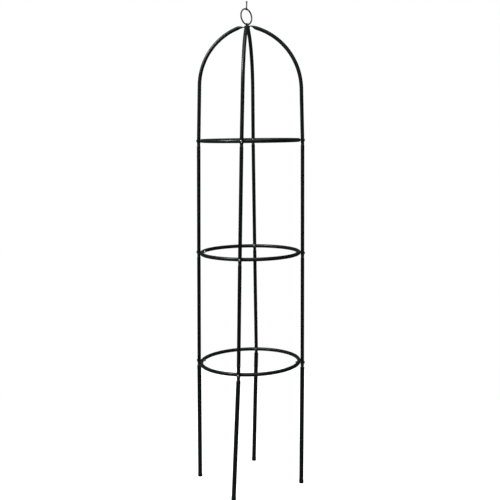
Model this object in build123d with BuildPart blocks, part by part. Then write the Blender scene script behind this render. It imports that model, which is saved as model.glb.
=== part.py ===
from build123d import *
import math
import os

os.makedirs("parts", exist_ok=True)

# ---------------------------------------------------------------------------
# Garden obelisk in coated steel tube.
# Frame: +Z up, ground at z = 0, origin under the middle of the three hoops,
# front leg towards -Y, right leg towards +X. All lengths in millimetres.
# ---------------------------------------------------------------------------

# tube stock
leg_d = 14.4            # bows, upper and middle leg tubes
foot_d = 17.0           # foot tubes
hoop_d = 14.4           # horizontal hoops
wall = 0.8
spigot_d = 12.6         # swaged end that plugs into the section above
seat_gap = 0.05         # daylight left where a leg lies against a hoop

# hoops, top to bottom: centreline radius, height of the centre, rise per mm
# towards rise_azimuth (the hoops sit slightly out of level when assembled)
hoop_names = ("top_ring", "middle_ring", "bottom_ring")
hoop_r = (188.5, 192.6, 196.1)
hoop_z = (1381.2, 941.5, 498.7)
hoop_rise = (0.0103, 0.0113, 0.0255)
rise_azimuth = 8.0
weld_azimuth = 135.0    # where each hoop's tube is closed
weld_gap = 2.0
weld_proud = 0.3

# azimuth of each leg's screw hole in the three hoops
sides = ("front", "right", "back", "left")
hole_azimuth = {
    "front": (-90.97, -92.77, -94.22),
    "right": (1.82, 0.05, -1.60),
    "back": (94.62, 92.88, 91.01),
    "left": (181.82, 180.05, 178.40),
}
# how far each foot stands off the plumb line of its bottom joint
foot_shift = {
    "front": (-19.5, -2.7),
    "right": (0.0, 0.0),
    "back": (-9.5, -1.3),
    "left": (0.0, 0.0),
}

# plug joints: distances along the tube from the screw
mouth = 10.0            # the section above ends this far below the screw
neck = 8.0              # bare length of the swaged neck below the mouth
shoulder = 4.0          # taper from the neck to the full tube
spigot_up = 18.0        # spigot reaches this far above the screw

# top bows: inward lean of the straight part, sideways lean of the whole bow
# (clockwise seen from above the apex), slope left at the end of the bend
hub_x, hub_y = -12.2, -1.7
bow_lean = {"front": 1.5, "right": 1.7, "back": 1.5, "left": 1.25}
bow_side_lean = {"front": 1.1, "right": 0.0, "back": 0.35, "left": 0.0}
bow_end_slope = {"front": 19.1, "right": 17.1, "back": 19.1, "left": 21.2}
bow_end_r = 36.0        # round tube ends this far from the apex screw
bow_end_z = 1807.0
tab_start_r = 12.0      # fully flattened from here inwards
tab_w = 21.0
tab_t = 2 * wall
tab_hole_d = 6.4
tab_order = ("left", "front", "back", "right")   # bottom to top
stack_z = 1809.4        # underside of the lowest flattened end

# joint hardware, M5
screw_d = 5.0
screw_hole_d = 5.4
head_d = 9.5
head_h = 2.8
head_gap = 0.2          # the head stands on the crown of a slightly leaning tube
socket_af = 3.0
nut_af = 8.0
nut_h = 4.0
nut_gap = 0.12          # the nut's flat face bridges the hollow of the hoop
screw_tail = 1.6        # thread showing behind the nut

# apex hardware, M6, and the hanging ring
eye_screw_d = 6.0
collar_d = 15.0
collar_t = 1.2
eye_hole_r = 3.6
eye_wall = 2.2
eye_t = 6.0
apex_washer_d = 20.0
apex_washer_t = 1.2
apex_nut_af = 10.0
apex_nut_h = 5.0
apex_tail = 2.6
ring_wire_d = 6.0
ring_r = 29.5           # centreline
ring_azimuth = 55.0     # direction of the hinge line through the eye
ring_lean = 7.0         # lean of the ring towards ring_azimuth + 90

# hanger link on the ring
link_at = 9.0           # degrees round the ring from its top
link_eye_r = 3.35
link_eye_wall = 1.6
link_eye_t = 3.4
link_d = 5.6
link_len = 31.8
link_tip_d = 6.8
link_tip_len = 9.0

# foot caps
cap_d = 18.4
cap_h = 14.0
cap_floor = 3.0
cap_fit = 0.05


def polar(plane, radius, azimuth):
    """Point of a hoop's plane at a radius and an azimuth."""
    a = math.radians(azimuth - rise_azimuth)
    return plane.from_local_coords(Vector(radius * math.cos(a), radius * math.sin(a), 0))


# ---------------------------------------------------------------------------
# Skeleton: hoop planes, screw points, leg axes
# ---------------------------------------------------------------------------
ra = math.radians(rise_azimuth)
hoop_plane = []
for z, rise in zip(hoop_z, hoop_rise):
    tilt = math.atan(rise)
    hoop_plane.append(Plane(
        origin=(0, 0, z),
        x_dir=(math.cos(ra) * math.cos(tilt), math.sin(ra) * math.cos(tilt), math.sin(tilt)),
        z_dir=(-math.cos(ra) * math.sin(tilt), -math.sin(ra) * math.sin(tilt), math.cos(tilt)),
    ))

leg_offset = leg_d / 2 + hoop_d / 2 + seat_gap
joint = {}      # leg axis point at each hoop
screw_dir = {}  # outward direction of each joint screw
for k in range(3):
    for side in sides:
        inner = polar(hoop_plane[k], hoop_r[k], hole_azimuth[side][k])
        outer = polar(hoop_plane[k], hoop_r[k] + leg_offset, hole_azimuth[side][k])
        joint[k, side] = outer
        screw_dir[k, side] = (outer - inner).normalized()

bow_plane, bow_pts, axis_dir, kink, foot_pt = {}, {}, {}, {}, {}
for side in sides:
    j = joint[0, side]
    run = Vector(hub_x - j.X, hub_y - j.Y, 0)
    layer_z = stack_z + tab_t * (tab_order.index(side) + 0.5)
    side_lean = math.radians(bow_side_lean[side])
    drift = (layer_z - j.Z) * math.tan(side_lean)
    span = math.sqrt(run.length ** 2 - drift ** 2)
    heading = math.atan2(run.Y, run.X) + math.atan2(drift, span)
    u = Vector(math.cos(heading), math.sin(heading), 0)
    # profile plane: local x towards the apex, local y up along the leaning bow,
    # origin at the top screw
    up_dir = Vector(0, 0, math.cos(side_lean)) + u.cross(Vector(0, 0, 1)) * math.sin(side_lean)
    bow_plane[side] = Plane(origin=j, x_dir=u, z_dir=u.cross(up_dir))
    lean = math.radians(bow_lean[side])
    slope = math.radians(bow_end_slope[side])
    ex, ey = span - bow_end_r, (bow_end_z - j.Z) / math.cos(side_lean)
    # corner where the straight part and the end tangent meet
    det = math.sin(lean) * math.sin(slope) - math.cos(lean) * math.cos(slope)
    a = (ex * math.sin(slope) - ey * math.cos(slope)) / det
    cx, cy = a * math.sin(lean), a * math.cos(lean)
    tangent_len = math.hypot(ex - cx, ey - cy)
    turn = math.pi / 2 - lean - slope
    radius = tangent_len / math.tan(turn / 2)
    sx, sy = cx - tangent_len * math.sin(lean), cy - tangent_len * math.cos(lean)
    bow_pts[side] = dict(start=(-mouth * math.sin(lean), -mouth * math.cos(lean)),
                         bend=(sx, sy), lean=lean, slope=slope, turn=math.degrees(turn),
                         radius=radius, end=(ex, ey), span=span)
    print(f"{side}: bend radius {radius:.1f}, turn {math.degrees(turn):.1f}, bend starts at z {sy + j.Z:.1f}")
    d = u * math.sin(lean) + up_dir * math.cos(lean)
    axis_dir[0, side] = d
    foot_pt[side] = Vector(joint[2, side].X + foot_shift[side][0],
                           joint[2, side].Y + foot_shift[side][1], 0)
    for k in range(3):
        # each section starts at the kink in its neck and runs to its next point
        kink[k, side] = joint[k, side] - axis_dir[k, side] * (mouth + neck / 2)
        low = joint[k + 1, side] if k < 2 else foot_pt[side]
        axis_dir[k + 1, side] = (kink[k, side] - low).normalized()


def axis_plane(origin, direction):
    return Plane(origin=origin, z_dir=direction)


# ---------------------------------------------------------------------------
# Top bows: straight part, one long bend, end squashed flat and drilled
# ---------------------------------------------------------------------------
for side in sides:
    p = bow_pts[side]
    pl = bow_plane[side]
    layer_z = stack_z + tab_t * (tab_order.index(side) + 0.5)
    tab_y = (layer_z - joint[0, side].Z) / math.cos(math.radians(bow_side_lean[side]))
    end_x, end_y = p["end"]
    tab_x = p["span"] - tab_start_r
    tangent = Vector(math.cos(p["slope"]), math.sin(p["slope"]), 0)

    def in_plane(x, y):
        return pl.from_local_coords(Vector(x, y, 0))

    def section(x, y, slope, up):
        # plane square to the tube, local x sideways
        z_dir = pl.x_dir * math.cos(slope) + up * math.sin(slope)
        return Plane(origin=in_plane(x, y), x_dir=pl.x_dir.cross(up), z_dir=z_dir)

    with BuildPart() as top_bow:
        with BuildLine(pl) as centreline:
            straight = Line(p["start"], p["bend"])
            JernArc(start=p["bend"], tangent=(math.sin(p["lean"]), math.cos(p["lean"])),
                    radius=p["radius"], arc_size=-p["turn"])
        with BuildSketch(axis_plane(centreline.line @ 0, centreline.line % 0)):
            Circle(leg_d / 2)
            Circle(leg_d / 2 - wall, mode=Mode.SUBTRACT)
        sweep(path=centreline.line)
        # squashed end: round to flat over the last stretch
        mid_x = 0.5 * (end_x + tab_x)
        mid_y = 0.5 * (end_y + tab_y) + 0.6
        with BuildSketch(section(end_x, end_y, p["slope"], pl.y_dir)):
            Circle(leg_d / 2)
        with BuildSketch(section(mid_x, mid_y, 0.5 * p["slope"], Vector(0, 0, 1))):
            Ellipse(tab_w / 2 - 2.1, 4.5)
        with BuildSketch(section(tab_x, tab_y, 0, Vector(0, 0, 1))):
            Ellipse(tab_w / 2 - 0.1, tab_t / 2 - 0.1)
        loft()
        # flat tab with a rounded end round the apex screw
        tab_plane = Plane(origin=(hub_x, hub_y, layer_z - tab_t / 2), x_dir=-pl.x_dir, z_dir=(0, 0, 1))
        with BuildSketch(tab_plane):
            Circle(tab_w / 2)
            with Locations((tab_start_r / 2 + 0.5, 0)):
                Rectangle(tab_start_r + 1, tab_w)
        extrude(amount=tab_t)
        with BuildSketch(tab_plane):
            Circle(tab_hole_d / 2)
        extrude(amount=tab_t, mode=Mode.SUBTRACT)
        # hole for the top joint screw
        with Locations(axis_plane(joint[0, side], screw_dir[0, side])):
            Cylinder(screw_hole_d / 2, leg_d + 4, mode=Mode.SUBTRACT)
    top_bow.part.label = f"top_bow_{side}"
    export_step(top_bow.part, f"parts/top_bow_{side}.step")

# ---------------------------------------------------------------------------
# Leg tubes: swaged spigot, neck and shoulder at the top of each section
# ---------------------------------------------------------------------------
for k, name in ((1, "upper_tube"), (2, "middle_tube"), (3, "foot_tube")):
    for side in sides:
        d_here = axis_dir[k, side]          # axis of this section, pointing up
        d_above = axis_dir[k - 1, side]     # axis of the section it plugs into
        top = kink[k - 1, side]
        dia = foot_d if k == 3 else leg_d
        if k < 3:
            low = joint[k, side] - d_here * mouth
        else:
            low = foot_pt[side] + d_here * cap_floor
        length = (top - low).length
        r_out, r_in = dia / 2, dia / 2 - wall
        r_neck, r_neck_in = spigot_d / 2, spigot_d / 2 - wall
        over = 3.0      # each half runs this far past the kink before it is mitred
        side_dir = d_here.cross(Vector(0.3, 1, 0)).normalized()
        mitre = axis_plane(top, (d_here + d_above).normalized())
        with BuildPart() as turned:
            # body, shoulder and lower half of the neck, turned about the tube axis
            with BuildSketch(Plane(origin=low, x_dir=side_dir, z_dir=side_dir.cross(d_here))):
                with BuildLine():
                    Polyline(
                        (r_in, 0), (r_out, 0),
                        (r_out, length - neck / 2 - shoulder),
                        (r_neck, length - neck / 2),
                        (r_neck, length + over),
                        (r_neck_in, length + over),
                        (r_neck_in, length - neck / 2),
                        (r_in, length - neck / 2 - shoulder),
                        (r_in, 0),
                    )
                make_face()
            revolve(axis=Axis(origin=low, direction=d_here))
            split(bisect_by=mitre, keep=Keep.BOTTOM)
        with BuildPart() as spigot:
            # upper half of the neck and the spigot, along the section above
            with BuildSketch(axis_plane(top - d_above * over, d_above)):
                Circle(r_neck)
                Circle(r_neck_in, mode=Mode.SUBTRACT)
            extrude(amount=spigot_up + mouth + neck / 2 + over)
            split(bisect_by=mitre, keep=Keep.TOP)
        with BuildPart() as leg_tube:
            add(turned.part)
            add(spigot.part)
            # screw holes: through the spigot, and through the lower end
            with Locations(axis_plane(joint[k - 1, side], screw_dir[k - 1, side])):
                Cylinder(screw_hole_d / 2, leg_d + 4, mode=Mode.SUBTRACT)
            if k < 3:
                with Locations(axis_plane(joint[k, side], screw_dir[k, side])):
                    Cylinder(screw_hole_d / 2, leg_d + 4, mode=Mode.SUBTRACT)
        leg_tube.part.label = f"{name}_{side}"
        export_step(leg_tube.part, f"parts/{name}_{side}.step")

# ---------------------------------------------------------------------------
# Hoops: round tubes drilled at the four legs and closed with a weld
# ---------------------------------------------------------------------------
for k, name in enumerate(hoop_names):
    pl = hoop_plane[k]
    gap = math.degrees(weld_gap / hoop_r[k])

    def hoop_section(turn):
        """Radial half-plane of the hoop, turned from the weld."""
        t = math.radians(weld_azimuth - rise_azimuth + turn)
        out = pl.x_dir * math.cos(t) + pl.y_dir * math.sin(t)
        return Plane(origin=pl.origin, x_dir=out, z_dir=out.cross(pl.z_dir))

    with BuildPart() as hoop:
        with BuildSketch(hoop_section(gap / 2)):
            with Locations((hoop_r[k], 0)):
                Circle(hoop_d / 2)
                Circle(hoop_d / 2 - wall, mode=Mode.SUBTRACT)
        revolve(axis=Axis(origin=pl.origin, direction=pl.z_dir), revolution_arc=360 - gap)
        for side in sides:
            at = joint[k, side] - screw_dir[k, side] * (leg_offset + hoop_d / 2 + 2)
            with BuildSketch(axis_plane(at, screw_dir[k, side])):
                Circle(screw_hole_d / 2)
            extrude(amount=hoop_d + 4, mode=Mode.SUBTRACT)
        # weld bead that closes the hoop
        with BuildSketch(hoop_section(-gap)):
            with Locations((hoop_r[k], 0)):
                Circle(hoop_d / 2 + weld_proud)
        revolve(axis=Axis(origin=pl.origin, direction=pl.z_dir), revolution_arc=2 * gap)
    hoop.part.label = name
    export_step(hoop.part, f"parts/{name}.step")

# ---------------------------------------------------------------------------
# Joint screws with domed socket heads outside the legs, nuts inside the hoops
# ---------------------------------------------------------------------------
nut_face = leg_offset + hoop_d / 2 + nut_gap      # from the leg axis to the nut
with BuildPart() as joint_screws:
    for k in range(3):
        for side in sides:
            out = axis_plane(joint[k, side], screw_dir[k, side])
            seat = leg_d / 2 + head_gap
            with BuildSketch(Plane(origin=out.origin, x_dir=out.z_dir, z_dir=out.y_dir)):
                with BuildLine():
                    Line((-(nut_face + nut_h + screw_tail), 0), (seat + head_h, 0))
                    ThreePointArc((seat + head_h, 0), (seat + head_h * 0.72, head_d * 0.33), (seat, head_d / 2))
                    Polyline((seat, head_d / 2), (seat, screw_d / 2 - 0.02),
                             (-(nut_face + nut_h + screw_tail) + 0.5, screw_d / 2 - 0.02),
                             (-(nut_face + nut_h + screw_tail), screw_d / 2 - 0.5),
                             (-(nut_face + nut_h + screw_tail), 0))
                make_face()
            revolve(axis=Axis(origin=out.origin, direction=out.z_dir))
            with BuildSketch(out.offset(seat + head_h - 1.4)):
                RegularPolygon(socket_af / 2, 6, major_radius=False)
            extrude(amount=3, mode=Mode.SUBTRACT)
joint_screws.part.label = "joint_screws"
export_step(joint_screws.part, "parts/joint_screws.step")

with BuildPart() as joint_nuts:
    for k in range(3):
        for side in sides:
            seat = axis_plane(joint[k, side] - screw_dir[k, side] * nut_face, -screw_dir[k, side])
            with BuildSketch(seat):
                RegularPolygon(nut_af / 2, 6, major_radius=False)
                Circle(screw_d / 2, mode=Mode.SUBTRACT)
            extrude(amount=nut_h)
joint_nuts.part.label = "joint_nuts"
export_step(joint_nuts.part, "parts/joint_nuts.step")

# ---------------------------------------------------------------------------
# Apex: eye screw through the four flattened ends, washer and nut below
# ---------------------------------------------------------------------------
stack_top = stack_z + 4 * tab_t
eye_z = stack_top + collar_t + 0.1 + eye_hole_r
screw_low = stack_z - apex_washer_t - apex_nut_h - apex_tail
ring_axis = Vector(math.cos(math.radians(ring_azimuth)), math.sin(math.radians(ring_azimuth)), 0)
across = Vector(-ring_axis.Y, ring_axis.X, 0)

with BuildPart() as apex_eye_screw:
    with BuildSketch(Plane(origin=(hub_x, hub_y, 0), x_dir=(1, 0, 0), z_dir=(0, -1, 0))):
        with BuildLine():
            Polyline(
                (0, screw_low), (eye_screw_d / 2 - 0.7, screw_low), (eye_screw_d / 2 - 0.02, screw_low + 0.7),
                (eye_screw_d / 2 - 0.02, stack_top), (collar_d / 2, stack_top),
                (collar_d / 2, stack_top + collar_t - 0.3), (collar_d / 2 - 0.4, stack_top + collar_t),
                (0, stack_top + collar_t), (0, screw_low),
            )
        make_face()
    revolve(axis=Axis(origin=(hub_x, hub_y, 0), direction=(0, 0, 1)))
    eye_plane = Plane(origin=Vector(hub_x, hub_y, eye_z) - ring_axis * (eye_t / 2), x_dir=across, z_dir=ring_axis)
    with BuildSketch(eye_plane):
        Circle(eye_hole_r + eye_wall)
        with Locations((0, -(eye_hole_r + eye_wall) / 2 + 0.6)):
            Rectangle(2 * (eye_hole_r + eye_wall), eye_hole_r + eye_wall - 1.2)
        with Locations((0, -(eye_z - stack_top) - 0.7)):
            Rectangle(12, 2, mode=Mode.SUBTRACT)
    extrude(amount=eye_t)
    with BuildSketch(eye_plane):
        Circle(eye_hole_r)
    extrude(amount=eye_t, mode=Mode.SUBTRACT)
apex_eye_screw.part.label = "apex_eye_screw"
export_step(apex_eye_screw.part, "parts/apex_eye_screw.step")

with BuildPart() as apex_washer:
    with BuildSketch(Plane(origin=(hub_x, hub_y, stack_z - apex_washer_t))):
        Circle(apex_washer_d / 2)
        Circle(tab_hole_d / 2, mode=Mode.SUBTRACT)
    extrude(amount=apex_washer_t)
    chamfer(apex_washer.edges().filter_by(GeomType.CIRCLE).sort_by(SortBy.RADIUS)[-2:], 0.2)
apex_washer.part.label = "apex_washer"
export_step(apex_washer.part, "parts/apex_washer.step")

with BuildPart() as apex_nut:
    with BuildSketch(Plane(origin=(hub_x, hub_y, stack_z - apex_washer_t - apex_nut_h))):
        RegularPolygon(apex_nut_af / 2, 6, major_radius=False)
        Circle(eye_screw_d / 2, mode=Mode.SUBTRACT)
    extrude(amount=apex_nut_h)
apex_nut.part.label = "apex_nut"
export_step(apex_nut.part, "parts/apex_nut.step")

# ---------------------------------------------------------------------------
# Hanging ring through the eye, and the short hanger link on its top
# ---------------------------------------------------------------------------
lean = math.radians(ring_lean)
ring_up = across * math.sin(lean) + Vector(0, 0, math.cos(lean))
ring_normal = ring_axis.cross(ring_up)
ring_foot = Vector(hub_x, hub_y, eye_z)
ring_centre = ring_foot + ring_up * ring_r

with BuildPart() as hanging_ring:
    with BuildSketch(Plane(origin=ring_centre, x_dir=ring_up, z_dir=ring_axis)):
        with Locations((ring_r, 0)):
            Circle(ring_wire_d / 2)
    revolve(axis=Axis(origin=ring_centre, direction=ring_normal))
hanging_ring.part.label = "hanging_ring"
export_step(hanging_ring.part, "parts/hanging_ring.step")

la = math.radians(link_at)
link_dir = ring_up * math.cos(la) + ring_axis * math.sin(la)
link_tangent = ring_axis * math.cos(la) - ring_up * math.sin(la)
link_pt = ring_centre + link_dir * ring_r
tip_r = link_tip_d / 2
with BuildPart() as hanger_link:
    # eye round the ring wire
    with BuildSketch(Plane(origin=link_pt - link_tangent * (link_eye_t / 2), x_dir=link_dir, z_dir=link_tangent)):
        Circle(link_eye_r + link_eye_wall)
    extrude(amount=link_eye_t)
    # shank with a small bead at its end
    shank_plane = Plane(origin=link_pt, x_dir=link_tangent, z_dir=link_tangent.cross(link_dir))
    with BuildSketch(shank_plane) as shank:
        with BuildLine():
            Polyline((0, link_eye_r + 0.5), (link_d / 2, link_eye_r + 0.5), (link_d / 2, link_len - link_tip_len),
                     (tip_r, link_len - link_tip_len + 2.2), (tip_r, link_len - tip_r))
            ThreePointArc((tip_r, link_len - tip_r),
                          (tip_r * math.cos(math.radians(45)), link_len - tip_r + tip_r * math.sin(math.radians(45))),
                          (0, link_len))
            Line((0, link_len), (0, link_eye_r + 0.5))
        make_face()
    revolve(axis=Axis(origin=link_pt, direction=link_dir))
    with BuildSketch(Plane(origin=link_pt - link_tangent * (link_eye_t / 2 + 1), x_dir=link_dir, z_dir=link_tangent)):
        Circle(link_eye_r)
    extrude(amount=link_eye_t + 2, mode=Mode.SUBTRACT)
hanger_link.part.label = "hanger_link"
export_step(hanger_link.part, "parts/hanger_link.step")

# ---------------------------------------------------------------------------
# Foot caps: cups on the tube ends, flat on the ground
# ---------------------------------------------------------------------------
for side in sides:
    d = axis_dir[3, side]
    side_dir = d.cross(Vector(0.3, 1, 0)).normalized()
    with BuildPart() as foot_cap:
        with BuildSketch(Plane(origin=foot_pt[side], x_dir=side_dir, z_dir=side_dir.cross(d))):
            with BuildLine():
                Polyline((0, -0.4), (cap_d / 2 - 2.2, -0.4))
                ThreePointArc((cap_d / 2 - 2.2, -0.4), (cap_d / 2 - 0.65, 0.25), (cap_d / 2, 1.8))
                Polyline((cap_d / 2, 1.8), (cap_d / 2, cap_h - 1.2))
                ThreePointArc((cap_d / 2, cap_h - 1.2), (cap_d / 2 - 0.09, cap_h - 0.45), (cap_d / 2 - 0.36, cap_h))
                Polyline((cap_d / 2 - 0.36, cap_h), (foot_d / 2 + cap_fit, cap_h),
                         (foot_d / 2 + cap_fit, cap_floor), (0, cap_floor), (0, -0.4))
            make_face()
        revolve(axis=Axis(origin=foot_pt[side], direction=d))
        split(bisect_by=Plane.XY, keep=Keep.TOP)
    foot_cap.part.label = f"foot_cap_{side}"
    export_step(foot_cap.part, f"parts/foot_cap_{side}.step")
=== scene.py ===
import math

import bmesh
import bpy
import numpy as np
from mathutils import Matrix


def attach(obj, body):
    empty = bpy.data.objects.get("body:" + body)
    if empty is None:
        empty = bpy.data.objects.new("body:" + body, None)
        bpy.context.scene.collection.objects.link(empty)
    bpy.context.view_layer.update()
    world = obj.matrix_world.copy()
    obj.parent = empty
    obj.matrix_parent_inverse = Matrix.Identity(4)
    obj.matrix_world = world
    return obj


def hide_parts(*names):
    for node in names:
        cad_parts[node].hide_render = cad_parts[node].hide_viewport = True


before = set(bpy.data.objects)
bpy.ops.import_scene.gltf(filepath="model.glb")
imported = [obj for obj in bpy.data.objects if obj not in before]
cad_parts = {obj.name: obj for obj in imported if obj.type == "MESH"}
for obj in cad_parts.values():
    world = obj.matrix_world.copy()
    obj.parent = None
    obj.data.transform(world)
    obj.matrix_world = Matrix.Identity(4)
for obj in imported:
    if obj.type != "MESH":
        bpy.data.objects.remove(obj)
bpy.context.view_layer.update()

# ---------------------------------------------------------------------------
# Garden obelisk. Lengths below are millimetres; meshes are made in metres.
# The skeleton repeats the dimensions that the CAD part is built from.
# ---------------------------------------------------------------------------
MM = 0.001
SIDES = ("front", "right", "back", "left")

leg_d, foot_d, hoop_d, wall = 14.4, 17.0, 14.4, 0.8
spigot_d, seat_gap = 12.6, 0.05
hoop_r = (188.5, 192.6, 196.1)
hoop_z = (1381.2, 941.5, 498.7)
hoop_rise = (0.0103, 0.0113, 0.0255)
rise_azimuth, weld_azimuth = 8.0, 135.0
hole_azimuth = {
    "front": (-90.97, -92.77, -94.22),
    "right": (1.82, 0.05, -1.60),
    "back": (94.62, 92.88, 91.01),
    "left": (181.82, 180.05, 178.40),
}
foot_shift = {"front": (-19.5, -2.7), "right": (0.0, 0.0), "back": (-9.5, -1.3), "left": (0.0, 0.0)}
mouth, neck, shoulder, spigot_up = 10.0, 8.0, 4.0, 18.0

hub_x, hub_y = -12.2, -1.7
bow_lean = {"front": 1.5, "right": 1.7, "back": 1.5, "left": 1.25}
bow_side_lean = {"front": 1.1, "right": 0.0, "back": 0.35, "left": 0.0}
bow_end_slope = {"front": 19.1, "right": 17.1, "back": 19.1, "left": 21.2}
bow_end_r, bow_end_z = 36.0, 1807.0
tab_start_r, tab_w, tab_t = 12.0, 21.0, 1.6
tab_order = ("left", "front", "back", "right")
stack_z = 1809.4

screw_d, head_d, head_h, head_gap, socket_af = 5.0, 9.5, 2.8, 0.2, 3.0
nut_af, nut_h, nut_gap, screw_tail = 8.0, 4.0, 0.12, 1.6
eye_screw_d, collar_d, collar_t, eye_hole_r, eye_wall, eye_t = 6.0, 15.0, 1.2, 3.6, 2.2, 6.0
apex_washer_d, apex_washer_t, apex_nut_af, apex_nut_h, apex_tail = 20.0, 1.2, 10.0, 5.0, 2.6
ring_wire_d, ring_r, ring_azimuth, ring_lean = 6.0, 29.5, 55.0, 7.0
link_at, link_eye_r, link_eye_wall, link_eye_t = 9.0, 3.35, 1.6, 3.4
link_d, link_len, link_tip_d, link_tip_len = 5.6, 31.8, 6.8, 9.0
cap_d, cap_h, cap_floor = 18.4, 14.0, 3.0

Z = np.array((0.0, 0.0, 1.0))


def vec(*a):
    return np.array(a, float)


def unit(v):
    return v / np.linalg.norm(v)


ra = math.radians(rise_azimuth)
planes = []
for z, rise in zip(hoop_z, hoop_rise):
    t = math.atan(rise)
    px = vec(math.cos(ra) * math.cos(t), math.sin(ra) * math.cos(t), math.sin(t))
    pn = vec(-math.cos(ra) * math.sin(t), -math.sin(ra) * math.sin(t), math.cos(t))
    planes.append((vec(0, 0, z), px, np.cross(pn, px), pn))


def on_hoop(k, radius, azimuth):
    o, px, py, _ = planes[k]
    a = math.radians(azimuth - rise_azimuth)
    return o + radius * math.cos(a) * px + radius * math.sin(a) * py


leg_offset = leg_d / 2 + hoop_d / 2 + seat_gap
joint, screw_dir = {}, {}
for k in range(3):
    for s in SIDES:
        inner = on_hoop(k, hoop_r[k], hole_azimuth[s][k])
        joint[k, s] = on_hoop(k, hoop_r[k] + leg_offset, hole_azimuth[s][k])
        screw_dir[k, s] = unit(joint[k, s] - inner)

bow, axis_dir, kink, foot_pt = {}, {}, {}, {}
for s in SIDES:
    j = joint[0, s]
    run = vec(hub_x - j[0], hub_y - j[1], 0)
    side_lean = math.radians(bow_side_lean[s])
    drift = (stack_z + tab_t * (tab_order.index(s) + 0.5) - j[2]) * math.tan(side_lean)
    span = math.sqrt(run @ run - drift**2)
    heading = math.atan2(run[1], run[0]) + math.atan2(drift, span)
    u = vec(math.cos(heading), math.sin(heading), 0)
    up = Z * math.cos(side_lean) + np.cross(u, Z) * math.sin(side_lean)
    lean, slope = math.radians(bow_lean[s]), math.radians(bow_end_slope[s])
    ex, ey = span - bow_end_r, (bow_end_z - j[2]) / math.cos(side_lean)
    det = math.sin(lean) * math.sin(slope) - math.cos(lean) * math.cos(slope)
    a = (ex * math.sin(slope) - ey * math.cos(slope)) / det
    cx, cy = a * math.sin(lean), a * math.cos(lean)
    tangent_len = math.hypot(ex - cx, ey - cy)
    turn = math.pi / 2 - lean - slope
    radius = tangent_len / math.tan(turn / 2)
    sx, sy = cx - tangent_len * math.sin(lean), cy - tangent_len * math.cos(lean)
    bow[s] = dict(o=j, u=u, up=up, side_lean=side_lean, lean=lean, slope=slope, turn=turn, radius=radius, bend=(sx, sy), end=(ex, ey), span=span)
    axis_dir[0, s] = u * math.sin(lean) + up * math.cos(lean)
    foot_pt[s] = vec(joint[2, s][0] + foot_shift[s][0], joint[2, s][1] + foot_shift[s][1], 0)
    for k in range(3):
        kink[k, s] = joint[k, s] - axis_dir[k, s] * (mouth + neck / 2)
        low = joint[k + 1, s] if k < 2 else foot_pt[s]
        axis_dir[k + 1, s] = unit(kink[k, s] - low)

stack_top = stack_z + 4 * tab_t
eye_z = stack_top + collar_t + 0.1 + eye_hole_r
screw_low = stack_z - apex_washer_t - apex_nut_h - apex_tail
az = math.radians(ring_azimuth)
ring_axis = vec(math.cos(az), math.sin(az), 0)
across = vec(-ring_axis[1], ring_axis[0], 0)
ring_up = across * math.sin(math.radians(ring_lean)) + Z * math.cos(math.radians(ring_lean))
ring_foot = vec(hub_x, hub_y, eye_z)
ring_centre = ring_foot + ring_up * ring_r
la = math.radians(link_at)
link_dir = ring_up * math.cos(la) + ring_axis * math.sin(la)
link_tangent = ring_axis * math.cos(la) - ring_up * math.sin(la)
link_pt = ring_centre + link_dir * ring_r

# ---------------------------------------------------------------------------
# Mesh helpers
# ---------------------------------------------------------------------------


class Shells:
    """Collects closed shells of one piece, with a value per vertex for wear, and for painted shade in the zinc's
    sockets and bores.
    """

    def __init__(self):
        self.v, self.f, self.w = [], [], []

    def add(self, verts, faces, wear_and_shade=None):
        base = sum(len(a) for a in self.v)
        verts = np.asarray(verts, float).reshape(-1, 3)
        self.v.append(verts)
        self.w.append(np.zeros(len(verts)) if wear_and_shade is None else np.asarray(wear_and_shade, float))
        self.f += [tuple(base + i for i in f) for f in faces]

    def grid(self, rows, closed=False, caps=(True, True), wear_and_shade=None):
        """Rows of points, each row a closed ring. Caps are fans at the first and last row."""
        rows = np.asarray(rows, float)
        n, m = rows.shape[:2]
        verts = rows.reshape(-1, 3)
        w = np.zeros(n * m) if wear_and_shade is None else np.broadcast_to(np.asarray(wear_and_shade, float).reshape(n, -1), (n, m)).reshape(-1)
        faces = []
        for i in range(n if closed else n - 1):
            a, b = i * m, ((i + 1) % n) * m
            for q in range(m):
                r = (q + 1) % m
                faces.append((a + q, a + r, b + r, b + q))
        if not closed:
            extra = []
            for want, row in ((caps[0], 0), (caps[1], n - 1)):
                if want:
                    c = n * m + len(extra)
                    extra.append(rows[row].mean(0))
                    ring = range(m)
                    for q in ring:
                        r = (q + 1) % m
                        tri = (row * m + r, row * m + q, c) if row == 0 else (row * m + q, row * m + r, c)
                        faces.append(tri)
            if extra:
                verts = np.vstack([verts, extra])
                w = np.concatenate([w, np.zeros(len(extra))])
        self.add(verts, faces, w)


def basis(direction, hint=(0.3, 1.0, 0.0)):
    d = unit(np.asarray(direction, float))
    a = unit(np.cross(d, np.asarray(hint, float)))
    return d, a, np.cross(d, a)


def lathe_rows(profile, origin, direction, segs, hint=(0.3, 1.0, 0.0), roll=0.0):
    """Rings along an axis. profile is (height, radius), radius a number or a function of the angle."""
    d, a, b = basis(direction, hint)
    th = np.arange(segs) * 2 * math.pi / segs
    rows = []
    for h, r in profile:
        rr = r(th) if callable(r) else np.full(segs, float(r))
        c, s_ = np.cos(th + roll), np.sin(th + roll)
        rows.append(origin + d * h + rr[:, None] * (c[:, None] * a + s_[:, None] * b))
    return np.array(rows)


def hexagon(af, corner=0.0):
    """Radius of a hexagon at each angle, corners at multiples of 60 degrees, optionally rounded."""
    def r(th):
        t = np.mod(th + math.pi / 6 + math.pi / 6, math.pi / 3) - math.pi / 6
        rr = af / 2 / np.cos(t)
        return np.minimum(rr, af / 2 / math.cos(math.pi / 6) - corner)
    return r


def smooth(x):
    x = np.clip(x, 0, 1)
    return x * x * (3 - 2 * x)


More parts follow.
